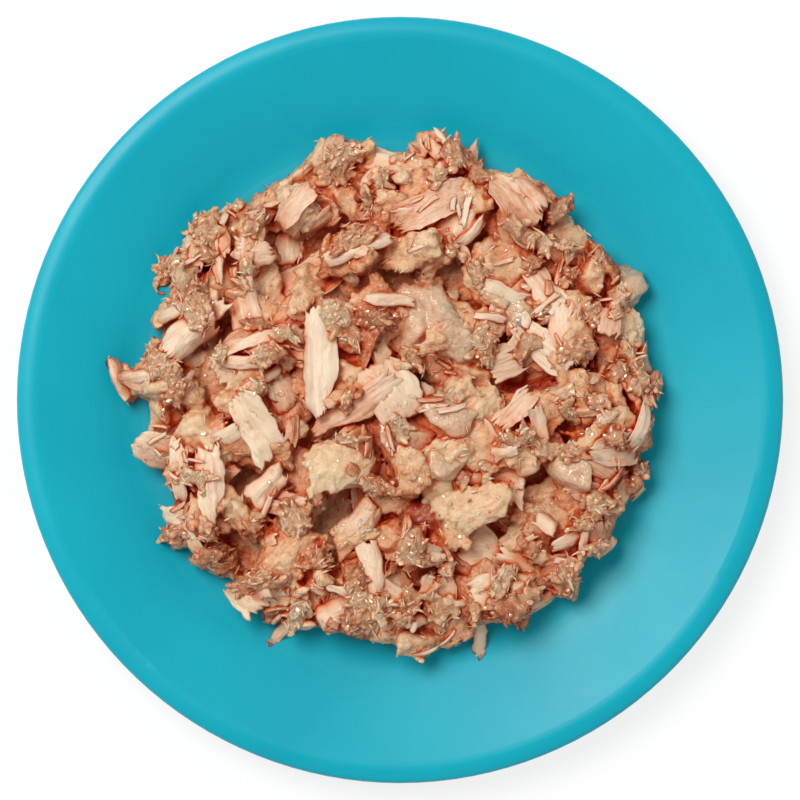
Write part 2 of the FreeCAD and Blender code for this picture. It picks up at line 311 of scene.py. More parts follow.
def blurred(grid, radius):
    """A square grid smoothed by three passes of a box of that radius in cells."""
    size = 2 * radius + 1
    for _ in range(3):
        for axis in (0, 1):
            pad = [(0, 0), (0, 0)]
            pad[axis] = (radius + 1, radius)
            sums = np.cumsum(np.pad(grid, pad, mode="edge"), axis=axis)
            ends = np.split(sums, [size], axis=axis)
            grid = (ends[1] - sums.take(range(sums.shape[axis] - size), axis=axis)) / size
    return grid


def turn(yaw):
    """2D rotation for a bearing in radians."""
    return np.array([[math.cos(yaw), -math.sin(yaw)], [math.sin(yaw), math.cos(yaw)]])


def heading(yaw):
    """The level direction of a bearing in radians."""
    return np.array([math.cos(yaw), math.sin(yaw)])


def facing(normal, yaw):
    """Rotation whose third column is the normal and whose first lies along a bearing."""
    normal = normal / np.linalg.norm(normal)
    along = np.append(heading(yaw), 0.0)
    along -= normal * along.dot(normal)
    along /= np.linalg.norm(along)
    return np.stack([along, np.cross(normal, along), normal], axis=1)


# ---- meshes ----
class Shells:
    """Many small shells that become one mesh, each with its pose, its tone and its strands."""

    def __init__(self):
        self.points, self.triangles, self.rotations = [], [], []
        self.origins, self.tones, self.strands = [], [], []

    def add(self, *shell):
        """Keep a shell's points, triangles, rotation, origin, tone and strand."""
        for part, kept in zip(shell, vars(self).values()):
            kept.append(part)

    def joined(self):
        """All points, all triangles and the number of the shell that each point is on."""
        owners = np.repeat(np.arange(len(self.points)), [len(p) for p in self.points])
        return *merged(*zip(self.points, self.triangles)), owners

    def fibre(self, points, owners):
        """The points in their own shells' frames, with the fibres along the first axis."""
        local = points - np.array(self.origins)[owners]
        local = np.einsum("ni,nij->nj", local, np.array(self.rotations)[owners])
        local[:, 2] += OWN_SHIFT * owners
        return local


def merged(*shells):
    """Several (points, triangles) as one."""
    points, triangles = zip(*shells)
    starts = np.cumsum([0] + [len(p) for p in points[:-1]])
    return np.concatenate(points), np.concatenate([t + s for t, s in zip(triangles, starts)])


def make_mesh(name, points, triangles, values=()):
    """A smooth-shaded mesh from points in millimetres and triangles."""
    mesh = bpy.data.meshes.new(name)
    mesh.vertices.add(len(points))
    mesh.vertices.foreach_set("co", (points * MM).astype(np.float32).ravel())
    mesh.loops.add(3 * len(triangles))
    mesh.loops.foreach_set("vertex_index", triangles.astype(np.int32).ravel())
    mesh.polygons.add(len(triangles))
    mesh.polygons.foreach_set("loop_start", np.arange(0, 3 * len(triangles), 3, dtype=np.int32))
    mesh.update(calc_edges=True)
    mesh.validate()
    mesh.shade_smooth()
    for key, data in values:
        kind, field = ("FLOAT", "value") if data.ndim == 1 else ("FLOAT_VECTOR", "vector")
        layer = mesh.attributes.new(key, kind, "POINT")
        layer.data.foreach_set(field, data.astype(np.float32).ravel())
    return mesh


def mesh_arrays(mesh):
    """Points in millimetres and triangles of a mesh."""
    points = np.empty(3 * len(mesh.vertices), np.float32)
    mesh.vertices.foreach_get("co", points)
    mesh.calc_loop_triangles()
    triangles = np.empty(3 * len(mesh.loop_triangles), np.int32)
    mesh.loop_triangles.foreach_get("vertices", triangles)
    return points.reshape(-1, 3).astype(float) / MM, triangles.reshape(-1, 3)


def form_arrays(form):
    """Points and triangles of a bmesh of triangles, which is freed."""
    points = np.array([v.co[:] for v in form.verts])
    triangles = np.array([[v.index for v in f.verts] for f in form.faces])
    form.free()
    return points, triangles


def add_object(name, data):
    made = bpy.data.objects.new(name, data)
    bpy.context.scene.collection.objects.link(made)
    return made


def remeshed(points, triangles, voxel, smoothing):
    """The skin round all the shells together, as points and triangles."""
    skin = add_object("skin", make_mesh("skin", points, triangles))
    cover = skin.modifiers.new("cover", "REMESH")
    cover.mode = "VOXEL"
    cover.voxel_size = voxel * MM
    if smoothing:
        relax = skin.modifiers.new("relax", "SMOOTH")
        relax.factor = 0.5
        relax.iterations = smoothing
    graph = bpy.context.evaluated_depsgraph_get()
    made = bpy.data.meshes.new_from_object(skin.evaluated_get(graph))
    bpy.data.objects.remove(skin)
    return mesh_arrays(made)


def round_blob(steps):
    """Points and triangles of a unit ball."""
    form = bmesh.new()
    bmesh.ops.create_icosphere(form, subdivisions=steps, radius=1.0)
    form.verts.ensure_lookup_table()
    return form_arrays(form)


def face_crosses(points, triangles):
    """Outward directions of the triangles, twice as long as their areas."""
    corners = points[triangles]
    return np.cross(corners[:, 1] - corners[:, 0], corners[:, 2] - corners[:, 0])


def point_normals(points, triangles):
    cross = face_crosses(points, triangles)
    total = np.zeros_like(points)
    for corner in range(3):
        np.add.at(total, triangles[:, corner], cross)
    return total / np.maximum(np.linalg.norm(total, axis=1), 1e-12)[:, None]


def nearest_owner(points, shells):
    """The shell that lies nearest to each point."""
    shell_points, _, owners = shells.joined()
    tree = KDTree(len(shell_points))
    for number, point in enumerate(shell_points):
        tree.insert(point, number)
    tree.balance()
    return owners[[tree.find(point)[1] for point in points]]


def show(name, points, triangles, owners, shells, finish):
    """The piece of the heap that a mesh makes, with the values that its material reads."""
    values = (
        ("fibre", shells.fibre(points, owners)),
        ("tone", np.array(shells.tones)[owners]),
        ("strand", np.array(shells.strands)[owners]),
    )
    piece = add_object(name, make_mesh(name, points, triangles, values))
    piece.data.materials.append(finish)
    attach(piece, "root")
    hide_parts("fish_heap")


# ---- the relief that the flakes lie on ----
class Relief:
    """Heights over the plate on a square grid, which grow as flakes are laid down."""

    CELL = 0.4
    REACH = 66.0

    def __init__(self, profile):
        self.cells = int(2 * self.REACH / self.CELL)
        self.radii, self.heights = profile.T
        self.top = self.plate_under(self.places())

    def places(self):
        axis = (np.arange(self.cells) + 0.5) * self.CELL - self.REACH
        return np.stack(np.meshgrid(axis, axis, indexing="ij"), -1)

    def plate_under(self, points):
        """The plate's own height under these points."""
        return np.interp(np.hypot(points[..., 0], points[..., 1]), self.radii, self.heights)

    def index(self, xy):
        cells = ((xy + self.REACH) / self.CELL).astype(int)
        return np.clip(cells, 0, self.cells - 1)

    def at(self, xy):
        cells = self.index(xy)
        return self.top[cells[..., 0], cells[..., 1]]

    def lay(self, points):
        """Raise the grid to these points, and to the same height in the cells beside them."""
        cells = self.index(points[:, :2])
        for step in ((0, 0), (1, 0), (0, 1), (1, 1)):
            x, y = np.minimum(cells + step, self.cells - 1).T
            np.maximum.at(self.top, (x, y), points[:, 2])


def plate_profile():
    """Radius and height of the plate's upper side, from the solid's own points."""
    points, _ = mesh_arrays(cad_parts["plate"].data)
    radii = np.hypot(points[:, 0], points[:, 1])
    edges = np.linspace(0.0, PLATE_RADIUS, 60)
    profile = [(0.0, FLOOR_HEIGHT)]
    for low, high in zip(edges[:-1], edges[1:]):
        inside = (radii >= low) & (radii <= high)
        best = np.argmax(np.where(inside, points[:, 2], -1.0))
        if inside.any() and points[best, 2] >= FLOOR_HEIGHT - 0.01:
            profile.append((radii[best], points[best, 2]))
    return np.array(profile)


# ---- the envelope ----
def envelope():
    """The CAD heap as merged points, triangles and the outward direction at each point."""
    form = bmesh.new()
    form.from_mesh(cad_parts["fish_heap"].data)
    bmesh.ops.remove_doubles(form, verts=form.verts, dist=0.01 * MM)
    form.normal_update()
    form.verts.ensure_lookup_table()
    bmesh.ops.triangulate(form, faces=form.faces)
    normals = np.array([v.normal[:] for v in form.verts])
    points, triangles = form_arrays(form)
    return points / MM, triangles, normals


def outline_of(points):
    """Bearing and radius of the envelope's widest points."""
    bearings = np.arctan2(points[:, 1], points[:, 0])
    radii = np.hypot(points[:, 0], points[:, 1])
    edges = np.linspace(-math.pi, math.pi, 181)
    found = []
    for low, high in zip(edges[:-1], edges[1:]):
        inside = (bearings >= low) & (bearings < high)
        if inside.any():
            found.append(((low + high) / 2.0, radii[inside].max()))
    return np.array(found)


def scattered(points, triangles, count, chance):
    """Places spread evenly over a skin, with its outward directions and triangles there."""
    cross = face_crosses(points, triangles)
    area = np.linalg.norm(cross, axis=1)
    normal = cross / np.maximum(area, 1e-9)[:, None]
    weight = np.where(normal[:, 2] > SCATTER_FACING, area, 0.0)
    picked = chance.choice(len(triangles), size=count, p=weight / weight.sum())
    a, b = chance.random((2, count, 1))
    flip = a + b > 1.0
    a, b = np.where(flip, 1.0 - a, a), np.where(flip, 1.0 - b, b)
    first, second, third = points[triangles[picked]].swapaxes(0, 1)
    return first + a * (second - first) + b * (third - first), normal[picked], picked


def spaced(places, distance):
    """Which of the places to keep so that none lies nearer than a distance to one before it."""
    kept = []
    for number, place in enumerate(places):
        if all(np.sum((places[other] - place) ** 2) > distance**2 for other in kept):
            kept.append(number)
    return kept


def smooth_normals(points, normals, places):
    """The envelope's mean outward direction round each place."""
    found = []
    for place in places:
        near = np.sum((points - place) ** 2, axis=1) < NORMAL_REACH**2
        total = normals[near].sum(axis=0)
        found.append(total / np.linalg.norm(total))
    return np.array(found)


# ---- torn shapes ----
def broken_ball(template, faces, sharpness, chance):
    """A unit ball broken off in flat faces, with its corners rounded less the sharper it is."""
    ways = chance.normal(0.0, 1.0, (faces, 3))
    ways /= np.linalg.norm(ways, axis=1)[:, None] * chance.uniform(0.6, 1.05, (faces, 1))
    reach = (np.maximum(template @ ways.T, 0.0) ** sharpness).sum(axis=1) + 1e-9
    return template * np.minimum(reach ** (-1.0 / sharpness), 1.5)[:, None]


def shard_kinds(chance):
    """A few different grains to copy, and the triangles that they share."""
    ball, triangles = round_blob(2)
    kinds = [broken_ball(ball, SHARD_FACES, SHARD_SHARPNESS, chance) for _ in range(SHARD_KINDS)]
    return kinds, triangles


def make_grains(masses, chance):
    """Grains of mince stuck all over the minced masses."""
    points, triangles, _ = masses.joined()
    places, normals, _ = scattered(points, triangles, GRAIN_COUNT, chance)
    sizes = chance.uniform(*GRAIN_RADIUS, (GRAIN_COUNT, 1))
    sizes = sizes * chance.uniform(*GRAIN_STRETCH, (GRAIN_COUNT, 3))
    sinks = chance.uniform(*GRAIN_SINK, GRAIN_COUNT)
    kinds, triangles = shard_kinds(chance)
    grains = []
    for number, (place, normal, size, sink) in enumerate(zip(places, normals, sizes, sinks)):
        lean = normal + chance.normal(0.0, GRAIN_LEAN, 3)
        turned = facing(lean, chance.uniform(0.0, FULL_TURN))
        local = kinds[number % SHARD_KINDS] * size
        grains.append((place - normal * sink * size[2] + local @ turned.T, triangles))
    return merged(*grains)


def grid_triangles(rows, columns):
    """Triangles of a shell: an upper and a lower grid that share their rim."""
    upper = np.arange(rows * columns).reshape(rows, columns)
    lower = upper.copy()
    inner = (rows - 2) * (columns - 2)
    lower[1:-1, 1:-1] = rows * columns + np.arange(inner).reshape(rows - 2, columns - 2)
    faces = []
    for grid, order in ((upper, 1), (lower, -1)):
        a, b, c, d = grid[:-1, :-1], grid[1:, :-1], grid[1:, 1:], grid[:-1, 1:]
        for pair in ((b, c), (c, d)):
            faces.append(np.stack([corner.ravel() for corner in (a, *pair[::order])], axis=1))
    return np.concatenate(faces)


def spindle(rings, sides):
    """Points and triangles of a unit ball drawn with few rings, with its tips on the X axis."""
    t = np.linspace(-1.0, 1.0, rings + 2)[1:-1]
    around = np.arange(sides) * FULL_TURN / sides
    girth = np.sqrt(1.0 - t**2)[:, None]
    along = np.repeat(t[:, None], sides, 1)
    ring = np.stack([along, girth * np.cos(around), girth * np.sin(around)], -1)
    points = np.concatenate([ring.reshape(-1, 3), [[-1.0, 0.0, 0.0], [1.0, 0.0, 0.0]]])
    triangles = []
    last = (rings - 1) * sides
    for side in range(sides):
        following = (side + 1) % sides
        for row in range(0, last, sides):
            a, b, c, d = row + side, row + following, row + following + sides, row + side + sides
            triangles += [(a, c, b), (a, d, c)]
        triangles.append((len(points) - 2, side, following))
        triangles.append((len(points) - 1, last + following, last + side))
    return points, np.array(triangles)


def torn_end(across, depth, chance):
    """How far a torn end falls back at each place across the fibres: a slant with pointed teeth."""
    width = across[-1] - across[0]
    slant = depth * chance.uniform(-0.6, 0.6) * (2.0 * (across - across[0]) / width - 1.0)
    count = 2 * max(2, int(width / chance.uniform(0.8, 1.8))) + 1
    knots = np.sort(chance.uniform(across[0], across[-1], count))
    falls = depth * chance.uniform(0.2, 1.0, count) * (np.arange(count) % 2)
    return np.interp(across, knots, falls) + slant + 0.6 * depth


def side_line(along, taper, chance):
    """Half width of one side along a flake: straight stretches between a few corners."""
    start, end = chance.uniform(0.1, 0.9, 2)
    corners = (-1.0, start - 1.0, 1.0 - end, 1.0)
    waist = np.interp(along, corners, (1.0 - taper[0], 1.0, 1.0, 1.0 - taper[1]))
    knots = np.linspace(-1.0, 1.0, 6) + chance.uniform(-0.12, 0.12, 6)
    return waist * np.interp(along, knots, chance.uniform(0.8, 1.0, 6))


def crowded(count, share):
    """Steps from -1 to 1 that lie closer together towards both ends."""
    even = np.linspace(-1.0, 1.0, count)
    return (1.0 - share) * even + share * np.sin(even * math.pi / 2.0)


def flake_shell(size, taper, teeth, steps, roughness, chance):
    """A torn piece, flat on the XY plane with its fibres along X, as points and triangles."""
    length, width, thickness = size
    crumple, ridge, layers = roughness
    rows = int(np.clip(length / steps[0], 6, 60)) + 1
    columns = int(np.clip(width / steps[1], 5, 34)) + 1
    u, v = crowded(rows, 0.3)[:, None], crowded(columns, 0.35)[None, :]

    # Its torn ends and sides.
    across = v[0] * width / 2.0
    low = torn_end(across, teeth * (1.0 - 0.6 * taper[0]), chance) - length / 2.0
    high = length / 2.0 - torn_end(across, teeth * (1.0 - 0.6 * taper[1]), chance)
    x = low + (high - low) * (u + 1.0) / 2.0
    along = 2.0 * x / length
    half = np.where(v < 0.0, side_line(along, taper, chance), side_line(along, taper, chance))
    y = v * half * width / 2.0
    own = chance.uniform(0.0, 500.0)
    level = np.full_like(x, own)

    def wave(reach_x, reach_y, seed):
        return noise(np.stack([x / reach_x, y / reach_y, level], -1), seed)

    side = level + 7.0 * np.sign(v)
    edge = 0.42 * noise(np.stack([x / 2.6, side, level], -1), 3)
    edge += 0.24 * noise(np.stack([x / 0.9, side, level], -1), 7)
    y = y + np.sign(v) * np.abs(v) ** 3 * edge * min(1.0, 0.35 * width)
    y = y + 0.12 * width * noise(np.stack([x / 6.0, level, level], -1), 4)
    y = y + chance.normal(0.0, 0.008) * x * x
    x = x + 0.6 * crumple * wave(1.7, 1.7, 11)
    y = y + 0.6 * crumple * wave(1.7, 1.7, 12)

    # Its upper side: sheets that split off, a crest, ridges along the fibres, and lumps.
    sheet = np.floor((y + chance.normal(0.0, 0.1) * x) / chance.uniform(0.7, 1.5))
    sheets = lattice_values(np.stack([sheet, 0 * sheet, 0 * sheet], -1), int(own * 100))
    crest = chance.uniform(-0.5, 0.5)
    falls = chance.uniform(0.0, 0.5, 2)
    roof = np.where(v > crest, falls[0] * (v - crest), falls[1] * (crest - v))
    streak = wave(6.0, 0.9, 5) + 0.5 * wave(2.5, 0.4, 6)
    lumps = 0.8 * wave(4.0, 4.0, 13) + 1.4 * (0.4 - np.abs(wave(2.2, 1.6, 14)))
    lumps = lumps + 0.5 * wave(1.2, 1.0, 15)
    body = (1.0 - np.abs(v) ** 2.3) ** 0.65 * (1.0 - np.abs(u) ** 3.5) ** 0.65
    top = thickness * (0.5 - roof) + layers * sheets * min(1.0, 0.8 * thickness)
    top = body * (top + ridge * streak + crumple * lumps)
    bottom = -0.5 * thickness * body
    curl = chance.normal(0.0, 0.10) * width * (v**2 - 0.5) + chance.normal(0.0, 0.03) * x * y
    curl = curl + chance.normal(0.0, 0.012) * x * x
    points = np.stack([x, y, top + curl], -1).reshape(-1, 3)
    inner = np.stack([x, y, bottom + curl], -1)[1:-1, 1:-1].reshape(-1, 3)
    return np.concatenate([points, inner]), grid_triangles(rows, columns)


def crumpled(points, triangles, fibre, strand, strength):
    """The skin with lumps and creases where it is minced and threads where it is flesh."""

    def wave(reach, seed):
        return noise(fibre / reach, seed)

    lumps = 0.5 * (np.abs(wave(3.0, 31)) - 0.3) + 0.5 * (0.3 - np.abs(wave(1.7, 32)))
    lumps = lumps + 0.35 * wave(1.0, 33)
    threads = 0.26 * wave(np.array([5.0, 0.9, 1.6]), 34)
    threads = threads + 0.16 * wave(np.array([2.4, 0.55, 0.9]), 35)
    push = lumps * (1.0 - strand) + (threads + 0.3 * lumps) * strand
    return points + strength * push[:, None] * point_normals(points, triangles)


def make_skin(shells, extra, voxel, strength, smoothing=0):
    """One crumpled skin round all the shells, and the shell that each of its points is on."""
    points, triangles, _ = shells.joined()
    points, triangles = remeshed(*merged((points, triangles), *extra), voxel, smoothing)
    owners = nearest_owner(points, shells)
    strand = np.array(shells.strands)[owners]
    points = crumpled(points, triangles, shells.fibre(points, owners), strand, strength)
    return points, triangles, owners


# ---- the heap ----
def surface_fit(relief, place, yaw, length, width):
    """Height, slopes and bends of the relief under a footprint, and how far it stands out."""
    a, b = np.meshgrid(np.linspace(-0.5, 0.5, 9) * length, np.linspace(-0.5, 0.5, 5) * width)
    a, b = a.ravel(), b.ravel()
    heights = relief.at(place + np.stack([a, b], axis=1) @ turn(yaw).T)
    terms = np.stack([np.ones_like(a), a, b, a * a, a * b, b * b], axis=1)
    weights = np.diag([0.0, 0.0, 0.0, 30.0, 30.0, 30.0]) * 4.0
    fit = np.linalg.solve(terms.T @ terms + weights, terms.T @ heights)
    rest = np.sort(heights - terms @ fit)
    return fit, rest[int(0.7 * len(rest))]


class Heap:
    """The heap while it is laid: its envelope, the relief so far and the gaps to leave open."""

    def __init__(self, chance):
        self.chance = chance
        profile = plate_profile()
        self.relief, self.cover, self.pits = (Relief(profile) for _ in range(3))
        self.points, self.triangles, self.normals = envelope()
        self.edge = outline_of(self.points)
        self.cover.lay(scattered(self.points, self.triangles, COVER_POINTS, chance)[0])
        wide, narrow = (blurred(self.cover.top, radius) for radius in PIT_BLURS)
        self.pits.top = wide - narrow
        for x, y, half_length, half_width, bearing in CREVICES:
            local = (self.pits.places() - (x, y)) @ turn(math.radians(bearing))
            share = (local[..., 0] / half_length) ** 2 + (local[..., 1] / half_width) ** 2
            self.pits.top = np.maximum(self.pits.top, CREVICE_DEPTH * (1.0 - share))
        self.cover.top = blurred(self.cover.top, COVER_BLUR)

    def is_clear(self, place, yaw, length):
        """Whether a piece that lies along a bearing leaves the heap's gaps open."""
        ends = (place[:2] + share * length * heading(yaw) for share in (-0.36, 0.0, 0.36))
        return max(self.pits.at(end) for end in ends) < PIT_DEPTH

    def rim(self, bearing):
        """The radius of the heap's outline at a bearing."""
        return np.interp(bearing, self.edge[:, 0], self.edge[:, 1], period=FULL_TURN)

    def is_inside(self, place, margin):
        """Whether a place lies inside the heap's outline by at least a margin."""
        return math.hypot(*place) < self.rim(math.atan2(place[1], place[0])) - margin

    def random_place(self, margin):
        """A place anywhere inside the heap's outline."""
        while True:
            radius = PLATE_RADIUS * 0.8 * math.sqrt(self.chance.random())
            place = radius * heading(self.chance.uniform(-math.pi, math.pi))
            if self.is_inside(place, margin):
                return place

    def over_plate(self, points):
        """The points, lifted where they would sink into the plate."""
        points[:, 2] = np.maximum(points[:, 2], self.relief.plate_under(points) + PLATE_GAP)
        return points

    def bed(self):
        """What shows at the bottom of the gaps: a mass well inside the envelope."""
        height = self.points[:, 2] - self.relief.plate_under(self.points)
        depth = np.minimum(BED_INSET, BED_SHARE * height + 1.0) * (self.normals[:, 2] > OUTWARD)
        inset = self.points - depth[:, None] * self.normals
        inset[:, 2] = np.maximum(inset[:, 2], FLOOR_HEIGHT)
        return inset, self.triangles

    def lay_masses(self, minced, broken, depths):
        """Thick torn masses all over the envelope, with gaps left where it has its hollows."""
        chance = self.chance
        outer = self.normals[:, 2] > OUTWARD
        places, _, _ = scattered(self.points, self.triangles, MASS_TRIES, chance)
        places = places[spaced(places, MASS_SPACING)]
        directions = smooth_normals(self.points[outer], self.normals[outer], places)
        for place, normal in zip(places, directions):
            mushy = chance.random() < MUSH_SHARE
            share, spread, roughness, strand = MINCED if mushy else BROKEN
            length = chance.uniform(*MASS_LENGTH)
            if np.hypot(*place[:2]) > EDGE_RADIUS:
                length = min(length, EDGE_LENGTH)
            bearings = chance.uniform(0.0, FULL_TURN, MASS_BEARINGS)
            yaws = [yaw for yaw in bearings if self.is_clear(place, yaw, length)]
            if not yaws:
                length = 0.5 * length
                yaws = [yaw for yaw in bearings if self.is_clear(place, yaw, length)]
            if not yaws:
                continue
            width = length * chance.uniform(*MASS_SLIMNESS)
            level = place[2] - self.relief.plate_under(place)
            thickness = min(chance.uniform(*MASS_THICKNESS) * share, 0.6 * level + 1.4)
            rotation = facing(normal + chance.normal(0.0, spread, 3), yaws[0])
            taper = chance.uniform(0.1, 0.7, 2)
            teeth = chance.uniform(*MASS_TEETH)
            size = (length, width, thickness)
            local, faces = flake_shell(size, taper, teeth, MASS_STEPS, roughness, chance)
            middle = place - normal * (chance.uniform(*depths) + 0.42 * thickness)
            world = self.over_plate(local @ rotation.T + middle)
            tone = chance.normal(*MASS_TONE)
            (minced if mushy else broken).add(world, faces, rotation, middle, tone, strand)

    def lay_flake(self, shells, place, yaw, size, taper, teeth, steps, tone, lift, roll=FLAKE_ROLL):
        """Lay one flake on the relief, tilted and bent as what lies under it asks."""
        length, width, thickness = size
        crumple, ridges, layers = FLAKE_ROUGHNESS
        roughness = (crumple, self.chance.uniform(*ridges), layers)
        points, triangles = flake_shell(size, taper, teeth, steps, roughness, self.chance)
        fit, proud = surface_fit(self.relief, place, yaw, length, width)
        slope = np.clip(fit[1:3], -MAX_SLOPE, MAX_SLOPE)
        across = self.chance.normal(0.0, roll)
        slope[1] = np.clip(slope[1] + across, -MAX_SLOPE, MAX_SLOPE)
        rotation = facing(np.append(-(turn(yaw) @ slope), 1.0), yaw)
        bend = np.clip(fit[3:], -FLAKE_BEND, FLAKE_BEND)
        x, y = points[:, 0], points[:, 1]
        points[:, 2] += bend[0] * x * x + bend[1] * x * y + bend[2] * y * y
        rise = proud + lift * thickness + 0.25 * width * abs(across)
        height = min(fit[0] + rise, float(self.cover.at(place)) + MAX_PROUD)
        origin = np.append(place, height)
        world = self.over_plate(points @ rotation.T + origin)
        self.relief.lay(world)
        shells.add(world, triangles, rotation, origin, tone, 1.0)

    def lay_features(self, shells):
        """The flakes that stand out, each at its own place."""
        for row, (x, y, length, width, bearing, thickness, *taper) in enumerate(FEATURE_FLAKES):
            tone = PALE_TONE if row == 0 else self.chance.normal(*FEATURE_TONE)
            self.lay_flake(
                shells, np.array([x, y]), math.radians(bearing), (length, width, thickness),
                taper, min(2.2, 0.4 * width), FEATURE_STEPS, tone, 0.2, 0.1,
            )

    def lay_bundles(self, shells, kind):
        """Groups of torn flakes that lie nearly side by side, all over the heap."""
        count, lengths, slimness, steps, lifts, margin = kind
        chance = self.chance
        laid = 0
        while laid < count:
            middle = self.random_place(margin)
            yaw = chance.uniform(0.0, math.pi)
            tone = chance.normal(*BUNDLE_TONE)
            for _ in range(int(chance.integers(*BUNDLE_SIZE))):
                length = chance.uniform(*lengths)
                width = length * chance.uniform(*slimness)
                along = chance.normal(0.0, 0.25 * length)
                offset = np.array([along, chance.normal(0.0, 0.7 * width)])
                own_yaw = yaw + chance.normal(0.0, BUNDLE_FAN)
                place = middle + turn(yaw) @ offset
                if not (self.is_inside(place, margin) and self.is_clear(place, own_yaw, length)):
                    continue
                thickness = width * chance.uniform(*BUNDLE_THICKNESS)
                size = (length, width, np.clip(thickness, *THICKNESS_LIMITS))
                taper = chance.uniform(0.0, 0.85, 2)
                teeth = chance.uniform(0.6, 2.4) * min(1.0, length / 7.0)
                own_tone = tone + chance.normal(0.0, 0.05)
                lift = chance.uniform(*lifts)
                self.lay_flake(shells, place, own_yaw, size, taper, teeth, steps, own_tone, lift)
                laid += 1

    def lay_fringe(self, shells):
        """Slivers round the heap's edge that point outwards."""
        chance = self.chance
        for bearing in chance.uniform(-math.pi, math.pi, FRINGE_COUNT):
            length = chance.uniform(*FRINGE_LENGTH)
            width = length * chance.uniform(*FRINGE_SLIMNESS)
            radius = self.rim(bearing) - chance.uniform(*FRINGE_INSIDE) * length - 0.6
            place = radius * heading(bearing)
            yaw = bearing + chance.normal(0.0, 0.5)
            tone = chance.normal(*FRINGE_TONE)
            size = (length, width, 0.4)
            self.lay_flake(shells, place, yaw, size, (0.3, 0.95), 0.6, FRINGE_STEPS, tone, 0.1)

    def lay_jelly(self, shells, place, length, width, yaw):
        """A lump of set jelly, broken in flat faces with soft corners, half sunk in the heap."""
        template, triangles = round_blob(4)
        own = self.chance.uniform(0.0, 500.0)
        form = broken_ball(template, JELLY_FACES, JELLY_SHARPNESS, self.chance)
        rough = 0.1 * noise(template * 1.6 + own, 8) + 0.14 * noise(template * 3.5 + own, 9)
        rough += 0.05 * noise(template * 8.0 + own, 10)
        height = min(length, width) * JELLY_HEIGHT
        local = form * (1.0 + rough[:, None]) * np.array([length / 2.0, width / 2.0, height])
        fit, proud = surface_fit(self.relief, place, yaw, 0.7 * length, 0.7 * width)
        slope = turn(yaw) @ np.clip(fit[1:3], -JELLY_SLOPE, JELLY_SLOPE)
        rotation = facing(np.append(-slope, 1.0), yaw)
        middle = np.append(place, fit[0] + proud - 0.55 * height)
        world = local @ rotation.T + middle
        self.relief.lay(world)
        shells.add(world, triangles, rotation, middle, self.chance.random(), 0.0)

    def clot_places(self):
        """Where the clots lie: over the ends and sides of the large flakes, and anywhere else."""
        chance = self.chance
        places = []
        for x, y, length, width, bearing, *_ in FEATURE_FLAKES:
            end, side = chance.choice([-1.0, 1.0], 2)
            over_end = (chance.uniform(0.4, 0.6), chance.uniform(-0.5, 0.5))
            over_side = (chance.uniform(-0.3, 0.3), 0.65)
            for share, apart in (over_end, over_side):
                offset = np.array([end * share * length, side * apart * width])
                places.append(np.array([x, y]) + turn(math.radians(bearing)) @ offset)
        while len(places) < CLOT_COUNT:
            places.append(self.random_place(1.5))
        reach = CLOT_REACH[1]
        return [p for p in places if self.is_inside(p, 1.0) and self.is_clear(p, 0.0, reach)]

    def lay_clots(self, shells):
        """Small heaps of mince, each of a few short fibres that stick together."""
        chance = self.chance
        middles = self.clot_places()
        kinds, triangles = shard_kinds(chance)
        for middle in middles:
            reach = chance.uniform(*CLOT_REACH)
            stretch = np.array([1.0, chance.uniform(*CLOT_STRETCH)])
            yaw = chance.uniform(0.0, math.pi)
            tone = chance.normal(*CLOT_TONE)
            rotation = facing(UP, yaw)
            for _ in range(int(6 + 5.0 * reach**2)):
                kind = kinds[chance.integers(SHARD_KINDS)]
                offset = chance.normal(0.0, 0.45 * reach, 2) * stretch
                place = middle + turn(yaw) @ offset
                size = chance.uniform(*CLOT_GRAIN) * chance.uniform(0.5, 1.1, 3) * GRAIN_FORM
                lean = facing(UP + chance.normal(0.0, 0.3, 3), yaw + chance.normal(0.0, 0.8))
                height = float(self.relief.at(place)) + 0.15 * size[2]
                world = kind * size @ lean.T + np.append(place, height)
                origin = np.append(place, 0.0)
                shells.add(world, triangles, rotation, origin, tone, CLOT_STRAND)
            self.relief.lay(np.concatenate(shells.points[-3:]))

    def lay_hairs(self, shells):
        """Fine single fibres, bent a little, that lie over the flakes."""
        chance = self.chance
        rings, sides = HAIR_GRID
        triangles = spindle(rings, sides)[1][:, ::-1]
        around = (np.arange(sides) * FULL_TURN / sides)[None, :, None]
        t = np.linspace(-0.5, 0.5, rings)
        terms = np.stack([np.ones(rings), t, t * t], axis=1)
        for _ in range(HAIR_COUNT):
            place = self.random_place(1.0)
            length = chance.uniform(*HAIR_LENGTH)
            thick = chance.uniform(*HAIR_RADIUS)
            yaw = chance.uniform(0.0, FULL_TURN)
            sway = chance.normal(0.0, 0.10) * length
            line = np.stack([t * length, sway * (4.0 * t * t), np.zeros(rings)], axis=1)
            line[:, :2] = line[:, :2] @ turn(yaw).T + place
            heights = self.relief.at(line[:, :2])
            level = terms @ np.linalg.lstsq(terms, heights, rcond=None)[0]
            line[:, 2] = level + 0.35 * max(0.0, (heights - level).max()) + thick * 0.5
            direction = np.gradient(line, axis=0)
            direction /= np.linalg.norm(direction, axis=1)[:, None]
            across = np.cross(direction, UP)
            across /= np.linalg.norm(across, axis=1)[:, None] + 1e-9
            upward = np.cross(across, direction)
            girth = thick * np.sqrt(np.clip(1.0 - (2.0 * t) ** 4, 0.05, 1.0))
            spokes = across[:, None] * np.cos(around) + upward[:, None] * np.sin(around)
            points = (line[:, None] + girth[:, None, None] * spokes).reshape(-1, 3)
            points = np.concatenate([points, line[:1], line[-1:]])
            tone = chance.normal(*HAIR_TONE)
            shells.add(points, triangles, facing(UP, yaw), line[rings // 2], tone, 1.0)


